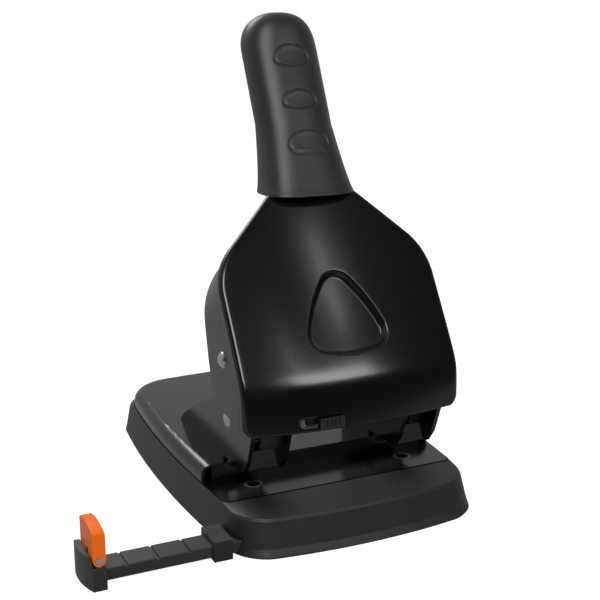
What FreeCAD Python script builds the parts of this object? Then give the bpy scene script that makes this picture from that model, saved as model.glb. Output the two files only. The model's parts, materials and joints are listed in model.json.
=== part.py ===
import FreeCAD, Part
import math
import os
from FreeCAD import Vector

# A two-hole desk punch with an upright lever. Millimetres, +Z up.
# The origin is on the table that it stands on, in the middle plane, below the line of the two punches.
# +X is to the right as seen from the paper side, and +Y points from the paper to the back.

# Whole machine
hole_spacing = 80.0
hole_diameter = 6.0
edge_distance = 12.0

# Base tray, a plastic moulding that catches the chips
tray_side_border = 4.2
tray_front_border = 30.2
tray_rear_border = 4.0
tray_toe_height = 1.2
tray_toe_inset = 0.8
tray_band_height = 4.2
tray_band_inset = 0.7
tray_band_front_inset = 1.6
tray_rim_height = 15.6
tray_rim_inset = 2.6
tray_rim_front_inset = 5.3
tray_round = 1.3
tray_lip_height = 18.1
tray_floor = 2.0
tray_wall = 2.4
tray_ledge_height = 12.0
tray_ledge_width = 3.2
shelf_thickness = 2.4
side_bow_radius = 660.0
side_bow_centre_y = 57.0
front_bow_radius = 306.0
rear_bow_radius = 420.0
tray_front_corner = 13.7
tray_rear_corner = 12.4
corner_handle_share = 0.55

# Base deck, folded from steel sheet
deck_sheet = 1.5
deck_side_margin = 23.0
deck_front_y = -14.0
deck_rear_y = 148.0
deck_front_corner = 3.0
deck_rear_corner = 19.4
deck_front_bow_radius = 4000.0
deck_gap = 0.35
table_height = 18.5
deck_height = 26.3
deck_shoulder_radius = 5.0
shoulder_mouth_width = 7.0

# Dies
die_radius = 4.5
die_height = 6.0
die_collar_radius = 6.2
die_collar_height = 1.6

# Side frames, each a U folded from steel sheet
frame_outer_offset = 9.2
frame_sheet = 2.0
frame_inner_offset = 11.0
frame_front_y = -10.2
frame_front_rise = 3.0
frame_rear_y = 76.5
frame_chin_y = -15.2
frame_chin_rise = 9.6
frame_neck_y = -19.9
frame_neck_z = 48.5
slope_low_y = 70.8
slope_low_rise = 4.9
slope_belly_y = 57.9
slope_belly_z = 38.8
slope_crest_y = 39.7
slope_crest_z = 48.2
slope_top_y = 24.2
slope_top_z = 55.2
frame_horn_y = 19.0
frame_horn_z = 57.6
frame_heel_y = 14.5
frame_inner_rear_y = 44.0
frame_floor_front_y = 17.0
boss_radius = 8.5

# Lever pivot and its shaft
pivot_y = -16.0
pivot_z = 62.0
shaft_radius = 4.0
running_clearance = 0.05
bush_wall = 1.5
bush_collar = 1.6
bush_collar_thickness = 1.3
washer_radius = 7.0
washer_thickness = 1.2
lever_travel_deg = 45.0

# Lever shells
shell_sheet = 1.1
flange_standoff = 3.8
cover_gap = 0.75
cover_wall_depth = 5.5
fold_y = -26.0
fold_z = 72.0
skirt_bottom_z = 52.3
skirt_corner = 5.0
skirt_bow = 5.8
neck_bow = 2.4
face_rise = 79.0
face_run = 49.6
shoulder_tangent_z = 110.0
shoulder_radius = 33.0
shoulder_turn_deg = 44.0
neck_half_width = 16.5
neck_point_x = 20.0
neck_point_z = 151.0
neck_top_z = 166.0
flange_low_y = 16.5
flange_low_z = 58.4
flange_knee_y = 22.1
flange_knee_z = 76.8
flange_rise = 36.6
flange_run = 8.4
flange_bottom_z = 54.5
flange_notch_y = 8.0
web_bottom_z = 113.0
seat_gap = 0.3

# Pressed recess in the front cover
recess_z = 100.0
recess_depth = 3.0
recess_corner = 9.5
recess_core_half_width = 10.8
recess_core_low = -9.2
recess_core_high = 11.3
recess_core_bow = 1.0
recess_taper = 1.8

# Rivets and rods
rivet_head_radius = 4.0
frame_rivet_height = 1.5
lever_rivet_height = 2.0
tie_rod_radius = 2.0
tie_rod_y = 9.0
tie_rod_z = 49.0
cross_rod_radius = 2.2
cross_rod_y = 3.5
cross_rod_z = 79.8
rod_clearance = 0.6

# Punches, their guides and springs
guide_rise = 11.0
guide_height = 9.0
guide_half_depth = 9.0
punch_tip_rise = 11.5
punch_head_radius = 4.4
punch_head_height = 3.0
punch_tip_rake = 1.2
cam_start_height = 3.0
cam_gap = 0.2
cam_thickness = 8.0
cam_hub_radius = 8.0
cam_pin_radius = 1.5
cam_overtravel = 0.6
cam_points = 9
spring_wire = 0.9
spring_mean_radius = 3.95
spring_turns = 5.5
spring_seat = 0.15

# Lock slider on the skirt of the front cover
lock_x = -15.0
lock_width = 12.0
lock_bottom_z = 53.4
lock_height = 5.2
lock_proud = 1.1
lock_neck_width = 10.0
lock_neck_height = 3.8
lock_gap = 0.35
lock_travel = 9.0
lock_ribs = 3
lock_rib_width = 1.0
lock_plate = 1.2
finger_width = 4.0
finger_depth = 2.6
finger_height = 3.0
catch_thickness = 2.0
catch_reach = 12.2
catch_start_deg = 176.0
catch_end_deg = 186.0

# Handle
core_half_width = 8.0
core_thickness = 4.0
core_bottom_z = 116.0
core_top_z = 205.0
core_rivet_radius = 2.5
core_rivet_head = 4.0
core_rivet_dome = 1.4
core_rivet_first_z = 124.0
core_rivet_pitch = 14.0
core_rivet_count = 2
grip_bottom_z = 149.5
grip_dome_z = 213.0
grip_top_z = 232.3
grip_foot_power = 3.4
grip_taper_power = 0.75
grip_head_power = 2.3
grip_dome_power = 2.4
grip_points = 24
grip_bottom_half_width = 23.3
grip_bottom_half_depth = 16.2
grip_waist_half_width = 18.7
grip_waist_half_depth = 13.2
grip_head_half_width = 18.7
grip_head_half_depth = 13.4
grip_foot_y = 27.8
grip_waist_z = 180.0
grip_waist_y = 41.6
grip_dome_y = 57.6
grip_tip_y = 59.5
grip_pocket_gap = 0.3
grip_taper_shares = (0.0, 0.08, 0.25, 0.55, 1.0)
grip_rise_shares = (0.35, 0.7, 1.0)
grip_dome_shares = (0.25, 0.5, 0.7, 0.85, 0.95, 0.99)

# Paper guide
bar_front_y = -30.0
bar_rear_y = -17.0
bar_bottom_z = 1.5
bar_top_z = 7.0
bar_left_x = -120.0
bar_length = 115.0
bar_gap = 0.3
bar_edge_round = 0.5
bar_mark_width = 1.2
bar_mark_depth = 0.8
bar_mark_pitch = 14.0
bar_marks = 4
bar_mark_first = 9.2
socket_reach = 4.4
socket_front_y = -31.8
socket_rear_y = -14.8
socket_height = 9.4
channel_spare = 16.0
bar_travel_in = 35.0
block_width = 6.0
block_cheek = 2.6
block_bulge = 1.6
block_front_y = -35.5
block_rear_y = -14.0
block_bottom_z = 0.5
block_height = 10.9
block_edge_round = 0.5
cheek_top_z = 15.0
cheek_shoulder = 6.0
flag_thickness = 5.4
flag_rear_y = -14.6
flag_pin_z = 14.1
flag_pin_radius = 1.2
flag_side_z = 26.2
flag_crown = 1.6
flag_edge_round = 0.7
flag_side_gap = 0.3
flag_pin_head_radius = 1.6
flag_pin_head = 0.5
ear_half_depth = 2.2

# Small fasteners
foot_screw_radius = 2.0
foot_screw_head_radius = 3.6
foot_screw_head = 2.2
foot_screw_below = 4.0
foot_screw_first_y = 24.0
foot_screw_pitch = 38.0
foot_screw_rows = 2
foot_screw_socket = 1.5

overrun = 5.0
edge_tolerance = 0.02
far = 200.0

# Worked out sizes
punch_x = hole_spacing / 2
punch_radius = hole_diameter / 2
deck_half_width = punch_x + deck_side_margin
frame_outer_x = punch_x + frame_outer_offset
frame_inner_x = punch_x - frame_inner_offset
flange_outer_x = frame_outer_x + flange_standoff
bore_radius = punch_radius + running_clearance
cam_base_radius = -pivot_y
tray_half_width = deck_half_width + tray_side_border
tray_front_y = deck_front_y - tray_front_border
tray_rear_y = deck_rear_y + tray_rear_border
socket_left_x = -tray_half_width - socket_reach
channel_right_x = bar_left_x + bar_length + bar_travel_in + channel_spare
frame_front_z = deck_height + frame_front_rise
frame_chin_z = deck_height + frame_chin_rise
slope_low_z = deck_height + slope_low_rise
guide_bottom_z = table_height + guide_rise
punch_tip_z = table_height + punch_tip_rise
punch_stroke = cam_base_radius * math.radians(lever_travel_deg)
flange_inner_x = flange_outer_x - shell_sheet
cover_outer_x = flange_outer_x + cover_gap + shell_sheet
frame_wall_x = frame_outer_x - frame_sheet
face_slope = face_run / face_rise
face_lean_deg = math.degrees(math.atan(face_slope))
face_stretch = math.sqrt(1 + face_slope ** 2)
web_slope = flange_run / flange_rise
web_stretch = math.sqrt(1 + web_slope ** 2)
punch_head_top_z = pivot_z - cam_start_height - cam_gap
guide_top_z = guide_bottom_z + guide_height
flag_pin_x = bar_left_x - block_width / 2
flag_lobe_radius = flag_thickness / 2
ear_radius = flag_lobe_radius - flag_side_gap
foot_x = (frame_inner_x + frame_outer_x) / 2
foot_screw_ys = [foot_screw_first_y + index * foot_screw_pitch for index in range(foot_screw_rows)]
core_rivet_heights = [core_rivet_first_z + index * core_rivet_pitch for index in range(core_rivet_count)]
frame_slope = [(slope_top_y, slope_top_z), (slope_crest_y, slope_crest_z),
               (slope_belly_y, slope_belly_z), (slope_low_y, slope_low_z)]


def box(x0, x1, y0, y1, z0, z1):
    """A block between two opposite corners."""
    return Part.makeBox(x1 - x0, y1 - y0, z1 - z0, Vector(x0, y0, z0))


def rod_x(x0, x1, y, z, radius):
    """A round bar along X."""
    return Part.makeCylinder(radius, x1 - x0, Vector(x0, y, z), Vector(1, 0, 0))


def rod_y(y0, y1, x, z, radius):
    """A round bar along Y."""
    return Part.makeCylinder(radius, y1 - y0, Vector(x, y0, z), Vector(0, 1, 0))


def rod_z(z0, z1, x, y, radius):
    """A round bar along Z."""
    return Part.makeCylinder(radius, z1 - z0, Vector(x, y, z0), Vector(0, 0, 1))


def side_prism(points, x0, x1):
    """A solid whose outline in the side view is a list of (y, z) points."""
    corners = [Vector(x0, y, z) for y, z in points]
    face = Part.Face(Part.makePolygon(corners + corners[:1]))
    return face.extrude(Vector(x1 - x0, 0, 0))


def mirrored(shape):
    """The same piece on the other side of the middle plane."""
    return shape.mirror(Vector(0, 0, 0), Vector(1, 0, 0))


def dome(centre, radius, height, direction):
    """A low button head that stands on a flat face."""
    ball_radius = (radius ** 2 + height ** 2) / (2 * height)
    ball = Part.makeSphere(ball_radius, centre - direction * (ball_radius - height))
    return ball.common(Part.makeCylinder(radius, height, centre, direction))


def edges_where(shape, test):
    """The edges whose middle point passes a test."""
    found = []
    for edge in shape.Edges:
        middle = edge.valueAt((edge.FirstParameter + edge.LastParameter) / 2)
        if test(middle):
            found.append(edge)
    return found


def save(name, shape):
    """Writes one node."""
    print(name, "solids", len(shape.Solids), "valid", shape.isValid(), "volume", round(shape.Volume, 1))
    shape.exportStep("parts/" + name + ".step")


# Plan outline of the base, with bowed sides and soft corners
def plan_wire(half_width, front, rear, front_radius, front_corner, rear_corner, z):
    """A closed outline at one height, of eight edges that run into each other smoothly."""
    def side_x(y):
        drop = side_bow_radius - math.sqrt(side_bow_radius ** 2 - (y - side_bow_centre_y) ** 2)
        return half_width - drop

    def front_y(x):
        return front + front_radius - math.sqrt(front_radius ** 2 - x ** 2)

    def rear_y(x):
        return rear - rear_bow_radius + math.sqrt(rear_bow_radius ** 2 - x ** 2)

    def corner(curve_y, corner_size, sign):
        x_corner = side_x(curve_y(half_width))
        x_start = x_corner - corner_size
        y_start = curve_y(x_start)
        y_end = curve_y(x_corner) + sign * corner_size
        start = Vector(x_start, y_start, z)
        end = Vector(side_x(y_end), y_end, z)
        handle = corner_size * corner_handle_share
        along_front = Vector(x_corner, curve_y(x_corner), z) - start
        along_side = end - Vector(x_corner, curve_y(x_corner), z)
        bend = Part.BezierCurve()
        bend.setPoles([start, start + along_front.normalize() * handle,
                       end - along_side.normalize() * handle, end])
        return start, end, bend

    front_start, front_end, front_bend = corner(front_y, front_corner, 1)
    rear_start, rear_end, rear_bend = corner(rear_y, rear_corner, -1)
    side_middle_y = (front_end.y + rear_end.y) / 2
    side_middle = Vector(side_x(side_middle_y), side_middle_y, z)
    right = [front_bend.toShape(), Part.Arc(front_end, side_middle, rear_end).toShape(), rear_bend.toShape()]
    left = [edge.mirror(Vector(0, 0, 0), Vector(1, 0, 0)) for edge in right]

    def flip(point):
        return Vector(-point.x, point.y, z)

    front_edge = Part.Arc(flip(front_start), Vector(0, front, z), front_start).toShape()
    rear_edge = Part.Arc(rear_start, Vector(0, rear, z), flip(rear_start)).toShape()
    return Part.Wire(Part.__sortEdges__([front_edge] + right + [rear_edge] + left[::-1]))


def tray_wire(inset, front_inset, z):
    """The tray's outline, drawn in by one inset at the sides and rear and another in front."""
    return plan_wire(tray_half_width - inset, tray_front_y + front_inset, tray_rear_y - inset,
                     front_bow_radius - front_inset, tray_front_corner, tray_rear_corner, z)


def deck_wire(inset, z):
    """The deck's outline, drawn in by an inset."""
    return plan_wire(deck_half_width - inset, deck_front_y + inset, deck_rear_y - inset,
                     deck_front_bow_radius, deck_front_corner, deck_rear_corner, z)


def base_tray():
    """The chip tray with its wide front shelf, the deck's seat and the paper guide's channel."""
    half_round = tray_round / 2
    outer = Part.makeLoft([
        tray_wire(tray_toe_inset, tray_toe_inset, 0),
        tray_wire(0, 0, tray_toe_height),
        tray_wire(tray_band_inset, tray_band_front_inset, tray_band_height),
        tray_wire(tray_rim_inset, tray_rim_front_inset, tray_rim_height),
        tray_wire(tray_rim_inset + half_round, tray_rim_front_inset + half_round,
                  tray_rim_height + tray_round),
        deck_wire(-deck_gap, tray_lip_height),
    ], True, True)
    seat = Part.Face(deck_wire(-deck_gap, tray_ledge_height)).extrude(Vector(0, 0, far))
    bin_space = Part.Face(deck_wire(tray_ledge_width, tray_floor)).extrude(Vector(0, 0, far))
    shelf_low = Part.Face(tray_wire(tray_rim_inset + tray_wall, tray_rim_front_inset + tray_wall, -overrun))
    shelf_space = shelf_low.extrude(Vector(0, 0, overrun + tray_rim_height - shelf_thickness / 2))
    shelf_space = shelf_space.cut(box(-far, far, deck_front_y - tray_wall, far, -far, far))
    socket = box(socket_left_x, -deck_half_width, socket_front_y, socket_rear_y, 0, socket_height)
    channel = box(-deck_half_width, channel_right_x, socket_front_y, socket_rear_y, 0, socket_height)
    channel = channel.common(Part.Face(tray_wire(tray_wall, tray_wall, 0)).extrude(Vector(0, 0, far)))
    tunnel = box(socket_left_x - overrun, channel_right_x - tray_wall, bar_front_y - bar_gap,
                 bar_rear_y + bar_gap, bar_bottom_z - bar_gap, bar_top_z + bar_gap)
    tray = outer.cut(seat).cut(bin_space).cut(shelf_space)
    tray = tray.fuse([socket, channel]).removeSplitter()
    tray = tray.cut(tunnel)
    return tray


def deck_block(inset, top, foot):
    """The deck as a closed block with its round shoulders."""
    block = Part.Face(deck_wire(inset, foot)).extrude(Vector(0, 0, top - foot))
    rim = edges_where(block, lambda p: abs(p.z - top) < edge_tolerance)
    return block.makeFillet(deck_shoulder_radius - inset, rim)


def base_deck():
    """The folded steel deck: punching table in front, raised deck behind, open shoulder ends."""
    outer = deck_block(0, deck_height, tray_ledge_height)
    outer = outer.cut(box(-far, far, -far, edge_distance, table_height, far))
    inner = deck_block(deck_sheet, deck_height - deck_sheet, tray_ledge_height)
    mouth_x = deck_half_width - shoulder_mouth_width
    inner = inner.cut(box(-far, far, -far, edge_distance, table_height - deck_sheet, far))
    riser = box(-mouth_x, mouth_x, edge_distance, edge_distance + deck_sheet, table_height - deck_sheet, far)
    deck = outer.cut(inner.cut(riser))
    for side in (-1, 1):
        deck = deck.cut(rod_z(0, far, side * punch_x, 0, die_radius))
        for y in foot_screw_ys:
            deck = deck.cut(rod_z(0, far, side * foot_x, y, foot_screw_radius))
    return deck


def die(x):
    """A hardened ring, flush with the table, with a collar below it."""
    ring = rod_z(table_height - die_height, table_height, x, 0, die_radius)
    collar_top = table_height - deck_sheet
    collar = rod_z(collar_top - die_collar_height, collar_top, x, 0, die_collar_radius)
    bore = rod_z(0, far, x, 0, bore_radius)
    return ring.fuse(collar).removeSplitter().cut(bore)


def swept_notch(x0, x1):
    """The way that the lever's cross rod takes past the frame."""
    reach = math.hypot(cross_rod_y - pivot_y, cross_rod_z - pivot_z)
    start_deg = math.degrees(math.atan2(cross_rod_z - pivot_z, cross_rod_y - pivot_y))
    half = cross_rod_radius + rod_clearance
    ring = rod_x(x0, x1, pivot_y, pivot_z, reach + half).cut(rod_x(x0, x1, pivot_y, pivot_z, reach - half))
    end = math.radians(start_deg - lever_travel_deg)
    open_end = math.radians(start_deg + lever_travel_deg)
    wedge = side_prism([(pivot_y, pivot_z),
                        (pivot_y + far * math.cos(end), pivot_z + far * math.sin(end)),
                        (pivot_y + far * math.cos(open_end), pivot_z + far * math.sin(open_end))], x0, x1)
    stop = rod_x(x0, x1, pivot_y + reach * math.cos(end), pivot_z + reach * math.sin(end), half)
    return ring.common(wedge).fuse(stop)


def side_frame():
    """The right side frame: outer wall, floor and inner wall folded from one sheet."""
    boss_front = (pivot_y - boss_radius, pivot_z)
    boss_back = (pivot_y + boss_radius * math.cos(math.radians(lever_travel_deg)),
                 pivot_z + boss_radius * math.sin(math.radians(lever_travel_deg)))
    outline = [(frame_front_y, frame_front_z), (frame_chin_y, frame_chin_z), (frame_neck_y, frame_neck_z),
               boss_front, (pivot_y, pivot_z), boss_back, (frame_horn_y, frame_horn_z)]
    outline += frame_slope
    outline += [(frame_rear_y, deck_height), (frame_heel_y, deck_height), (frame_heel_y, frame_front_z)]
    outer_wall = side_prism(outline, frame_wall_x, frame_outer_x)
    outer_wall = outer_wall.fuse(rod_x(frame_wall_x, frame_outer_x, pivot_y, pivot_z, boss_radius))
    inner_end = frame_inner_x + frame_sheet
    inner_wall = side_prism(outline, frame_inner_x, inner_end)
    inner_wall = inner_wall.fuse(rod_x(frame_inner_x, inner_end, pivot_y, pivot_z, boss_radius))
    inner_wall = inner_wall.cut(box(-far, far, frame_inner_rear_y, far, -far, far))
    floor = box(inner_end, frame_wall_x, frame_floor_front_y, frame_rear_y - frame_sheet,
                deck_height, deck_height + frame_sheet)
    walls = outer_wall.fuse([inner_wall, floor]).removeSplitter()
    walls = walls.cut(swept_notch(0, far))
    bush_radius = shaft_radius + running_clearance + bush_wall
    walls = walls.cut(rod_x(frame_wall_x, far, pivot_y, pivot_z, bush_radius))
    walls = walls.cut(rod_x(0, frame_wall_x, pivot_y, pivot_z, shaft_radius + 2 * running_clearance))
    walls = walls.cut(rod_x(0, far, tie_rod_y, tie_rod_z, tie_rod_radius))
    for y in foot_screw_ys:
        walls = walls.cut(rod_z(0, far, foot_x, y, foot_screw_radius))
    return walls


def punch_guide():
    """The right guide block between the walls of its frame."""
    block = box(frame_inner_x + frame_sheet, frame_wall_x, -guide_half_depth, guide_half_depth,
                guide_bottom_z, guide_top_z)
    bore = rod_z(0, far, punch_x, 0, bore_radius)
    return block.cut(bore)


def punch_pin():
    """The right punch, with a flat head for the cam and a hollow cutting end."""
    shank = rod_z(punch_tip_z, punch_head_top_z, punch_x, 0, punch_radius)
    head = rod_z(punch_head_top_z - punch_head_height, punch_head_top_z, punch_x, 0, punch_head_radius)
    valley = side_prism([(-punch_radius, punch_tip_z - overrun), (punch_radius, punch_tip_z - overrun),
                         (0, punch_tip_z + punch_tip_rake)],
                        punch_x - punch_head_radius, punch_x + punch_head_radius)
    return shank.fuse(head).removeSplitter().cut(valley)


def return_spring():
    """The right punch's return spring, one wire from the guide block up to the head."""
    low = guide_top_z + spring_wire / 2 + spring_seat
    high = punch_head_top_z - punch_head_height - spring_wire / 2 - spring_seat
    pitch = (high - low) / spring_turns
    path = Part.Wire(Part.makeHelix(pitch, high - low, spring_mean_radius).Edges)
    slope = pitch / (2 * math.pi * spring_mean_radius)
    ring = Part.makeCircle(spring_wire / 2, Vector(spring_mean_radius, 0, 0), Vector(0, 1, slope))
    coil = path.makePipeShell([Part.Wire([ring])], True, False)
    coil.translate(Vector(punch_x, 0, low))
    print("spring gap between turns", round(pitch - spring_wire, 2))
    return coil


def cam():
    """The right cam: an involute lobe, so its contact stays on the punch's axis and drives it evenly."""
    points = []
    first = cam_start_height - cam_overtravel
    last = cam_start_height + punch_stroke + cam_overtravel
    for step in range(cam_points):
        reach = first + (last - first) * step / (cam_points - 1)
        radius = math.hypot(cam_base_radius, reach)
        angle = (reach - cam_start_height) / cam_base_radius - math.atan2(reach, cam_base_radius)
        points.append(Vector(punch_x - cam_thickness / 2,
                             pivot_y + radius * math.cos(angle), pivot_z + radius * math.sin(angle)))
    flank = Part.BSplineCurve()
    flank.interpolate(points)
    nose = points[-1] + Vector(0, -cam_start_height, cam_start_height)
    top = Vector(points[0].x, pivot_y, pivot_z + cam_hub_radius)
    low = Vector(points[0].x, pivot_y, points[0].z)
    edges = [flank.toShape(), Part.makeLine(points[-1], nose), Part.makeLine(nose, top),
             Part.makeLine(top, low), Part.makeLine(low, points[0])]
    lobe = Part.Face(Part.Wire(edges)).extrude(Vector(cam_thickness, 0, 0))
    hub = rod_x(punch_x - cam_thickness / 2, punch_x + cam_thickness / 2, pivot_y, pivot_z, cam_hub_radius)
    lobe = lobe.fuse(hub).removeSplitter()
    return lobe.cut(rod_x(0, far, pivot_y, pivot_z, shaft_radius)).cut(cam_pin())


def cam_pin():
    """The spring pin that holds the right cam on the shaft."""
    return rod_y(pivot_y - cam_hub_radius, pivot_y + cam_hub_radius, punch_x, pivot_z, cam_pin_radius)


def pivot_bush():
    """The right bearing bush, with its collar inside the frame."""
    radius = shaft_radius + running_clearance + bush_wall
    sleeve = rod_x(frame_wall_x, frame_outer_x, pivot_y, pivot_z, radius)
    collar = rod_x(frame_wall_x - bush_collar_thickness, frame_wall_x, pivot_y, pivot_z, radius + bush_collar)
    bore = rod_x(0, far, pivot_y, pivot_z, shaft_radius + running_clearance)
    return sleeve.fuse(collar).removeSplitter().cut(bore)


def pivot_shaft():
    """The lever's shaft, fixed between the two flanges."""
    shaft = rod_x(-flange_inner_x, flange_inner_x, pivot_y, pivot_z, shaft_radius)
    return shaft.cut(cam_pin()).cut(mirrored(cam_pin()))


def pivot_washers():
    """Spacing washers between the frames and the flanges."""
    middle = (frame_outer_x + flange_inner_x) / 2
    x0 = middle - washer_thickness / 2
    ring = rod_x(x0, x0 + washer_thickness, pivot_y, pivot_z, washer_radius)
    ring = ring.cut(rod_x(0, far, pivot_y, pivot_z, shaft_radius))
    return Part.makeCompound([ring, mirrored(ring)])


def riveted_rod(y, z, radius, end_x, head_height):
    """A rod across the machine with a domed head at each end."""
    rod = rod_x(-end_x, end_x, y, z, radius)
    heads = [dome(Vector(side * end_x, y, z), rivet_head_radius, head_height, Vector(side, 0, 0))
             for side in (-1, 1)]
    return rod.fuse(heads).removeSplitter()


# Lever shells
def face_reach(z):
    """How far up the leaning face a height lies, from the fold."""
    return (z - fold_z) * face_stretch


def lever_outline(inset):
    """A solid with the lever's outline, drawn in by an inset and carried square to the leaning face."""
    half = cover_outer_x - inset
    neck = neck_half_width - inset
    tangent = face_reach(shoulder_tangent_z)
    corner = tangent + shoulder_radius * math.tan(math.radians(shoulder_turn_deg / 2))
    shoulder_slope = math.atan2(face_reach(neck_point_z) - corner, cover_outer_x - neck_point_x)
    turn = math.pi / 2 - shoulder_slope
    radius = shoulder_radius - inset
    start = Vector(half, -far, tangent)
    centre = start - Vector(radius, 0, 0)
    middle = centre + Vector(radius * math.cos(turn / 2), 0, radius * math.sin(turn / 2))
    end = centre + Vector(radius * math.cos(turn), 0, radius * math.sin(turn))
    neck_start = Vector(neck, -far, end.z + (end.x - neck) * math.tan(shoulder_slope))
    low, high = Vector(half, -far, -far), Vector(neck, -far, far)
    edges = [Part.makeLine(low, start), Part.Arc(start, middle, end).toShape(),
             Part.makeLine(end, neck_start), Part.makeLine(neck_start, high)]
    edges += [edge.mirror(Vector(0, 0, 0), Vector(1, 0, 0)) for edge in edges]
    edges.append(Part.makeLine(Vector(-half, -far, -far), low))
    edges.append(Part.makeLine(high, Vector(-neck, -far, far)))
    outline = Part.Face(Part.Wire(Part.__sortEdges__(edges))).extrude(Vector(0, far + far, 0))
    outline.rotate(Vector(0, 0, 0), Vector(1, 0, 0), -face_lean_deg)
    outline.translate(Vector(0, fold_y, fold_z))
    return outline


def skirt_block():
    """A tall block as wide as the cover, with the skirt's lower edge and its rounded corners."""
    block = box(-cover_outer_x, cover_outer_x, -far, far, skirt_bottom_z, far + far)
    low = edges_where(block, lambda p: abs(p.z - skirt_bottom_z) < edge_tolerance
                      and abs(abs(p.x) - cover_outer_x) < edge_tolerance)
    return block.makeFillet(skirt_corner, low)


def crown_bow(z):
    """How far the leaning face is crowned forwards at a height."""
    share = (z - fold_z) / (neck_top_z + overrun - fold_z)
    return skirt_bow + (neck_bow - skirt_bow) * share


def crowned_block(front_shift, fold_drop):
    """The lever's front as a block: an upright skirt and a leaning face, both crowned forwards."""
    half = far / 2

    def profile(y, z, bow):
        crest = bow * (half / cover_outer_x) ** 2
        left = Vector(-half, y + crest - bow, z)
        right = Vector(half, y + crest - bow, z)
        arc = Part.Arc(left, Vector(0, y - bow, z), right).toShape()
        return Part.Wire([arc, Part.makeLine(right, Vector(half, far, z)),
                          Part.makeLine(Vector(half, far, z), Vector(-half, far, z)),
                          Part.makeLine(Vector(-half, far, z), left)])

    low_z = fold_z - fold_drop
    top_z = neck_top_z + overrun
    top_y = fold_y + face_slope * (top_z - fold_z) + front_shift * face_stretch
    fold = profile(fold_y + front_shift, low_z, skirt_bow)
    face = Part.makeLoft([fold, profile(top_y, top_z, neck_bow)], True, True)
    skirt = Part.Face(fold).extrude(Vector(0, 0, -fold_z))
    return face.fuse(skirt)


def recess_tool(growth, extra_depth):
    """The pressed hollow in the middle of the cover, with slanting walls."""
    corners = [Vector(-recess_core_half_width, recess_core_low, 0),
               Vector(recess_core_half_width, recess_core_low, 0), Vector(0, recess_core_high, 0)]
    sides = []
    for start, end in zip(corners, corners[1:] + corners[:1]):
        outward = (end - start).cross(Vector(0, 0, 1)).normalize()
        sides.append(Part.Arc(start, (start + end) / 2 + outward * recess_core_bow, end).toShape())
    triangle = Part.Face(Part.Wire(sides))
    rim = triangle.makeOffset2D(recess_corner + growth).OuterWire
    floor = triangle.makeOffset2D(recess_corner + growth - recess_taper).OuterWire
    floor.translate(Vector(0, 0, -recess_depth - extra_depth))
    walls = Part.makeLoft([rim, floor], True, True)
    mouth = Part.Face(rim).extrude(Vector(0, 0, overrun))
    tool = walls.fuse(mouth)
    tool.rotate(Vector(0, 0, 0), Vector(1, 0, 0), 90 - face_lean_deg)
    tool.translate(Vector(0, fold_y + face_slope * (recess_z - fold_z) - crown_bow(recess_z), recess_z))
    return tool


def front_cover():
    """The pressed front cover of the lever, with its recess and the slider's slot."""
    outer = crowned_block(0, 0).common(lever_outline(0)).common(skirt_block())
    drop = shell_sheet * (face_stretch - 1) / face_slope
    inner = crowned_block(shell_sheet, drop).common(lever_outline(shell_sheet))
    outer = outer.cut(recess_tool(0, 0))
    inner = inner.cut(recess_tool(shell_sheet, shell_sheet))
    shell = outer.cut(inner)
    back_y = fold_y + cover_wall_depth
    top_y = back_y + face_slope * (far - fold_z)
    behind = side_prism([(back_y, 0), (back_y, fold_z), (top_y, far), (far, far), (far, 0)], -far, far)
    shell = shell.cut(behind)
    shell = shell.cut(box(-far, far, -far, far, neck_top_z, far + far))
    slot_left = lock_x - lock_neck_width / 2 - lock_travel - lock_gap
    slot_right = lock_x + lock_neck_width / 2 + lock_gap
    slot_low = lock_bottom_z + (lock_height - lock_neck_height) / 2 - lock_gap
    slot = box(slot_left, slot_right, -far, 0, slot_low, slot_low + lock_neck_height + 2 * lock_gap)
    return shell.cut(slot)


def web_y(z):
    """The back of the lever's rear shell at a height, above the flange's knee."""
    return flange_knee_y + web_slope * (z - flange_knee_z)


def rear_shell():
    """The rear shell of the lever: two long flanges, joined by a web in the upper half."""
    front_shift = shell_sheet * face_stretch + seat_gap
    front_low = fold_y + front_shift
    outline = [(front_low, flange_bottom_z), (front_low, fold_z),
               (front_low + face_slope * (neck_top_z - fold_z), neck_top_z),
               (web_y(neck_top_z), neck_top_z), (flange_knee_y, flange_knee_z),
               (flange_low_y, flange_low_z), (flange_notch_y, flange_bottom_z)]
    outer = side_prism(outline, -far, far).common(lever_outline(cover_gap + shell_sheet))
    inner_rear = shell_sheet * web_stretch
    hollow = side_prism([(-far, -far), (-far, far), (web_y(far) - inner_rear, far),
                         (web_y(web_bottom_z) - inner_rear, web_bottom_z), (far, web_bottom_z), (far, -far)],
                        -far, far)
    inner = hollow.common(lever_outline(cover_gap + 2 * shell_sheet))
    shell = outer.cut(inner)
    shell = shell.cut(core_rivet_shanks())
    shell = shell.cut(rod_x(-far, far, cross_rod_y, cross_rod_z, cross_rod_radius))
    return shell


def core_outline():
    """The handle core's side view, flat on the inside of the web."""
    back = shell_sheet * web_stretch
    front = back + core_thickness * web_stretch
    return [(web_y(core_bottom_z) - front, core_bottom_z), (web_y(core_bottom_z) - back, core_bottom_z),
            (web_y(core_top_z) - back, core_top_z), (web_y(core_top_z) - front, core_top_z)]


def core_rivet(height):
    """One rivet of the handle core: its shank and the domed head on the web."""
    normal = Vector(0, 1, -web_slope).normalize()
    face = Vector(0, web_y(height), height)
    shank = Part.makeCylinder(core_rivet_radius, core_thickness + shell_sheet, face, normal * -1)
    return shank, dome(face, core_rivet_head, core_rivet_dome, normal)


def core_rivet_shanks():
    """The shanks of all the core's rivets."""
    shanks = [core_rivet(height)[0] for height in core_rivet_heights]
    return shanks[0].fuse(shanks[1:])


def handle_core():
    """The steel bar that stiffens the handle."""
    return side_prism(core_outline(), -core_half_width, core_half_width).cut(core_rivet_shanks())


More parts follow.
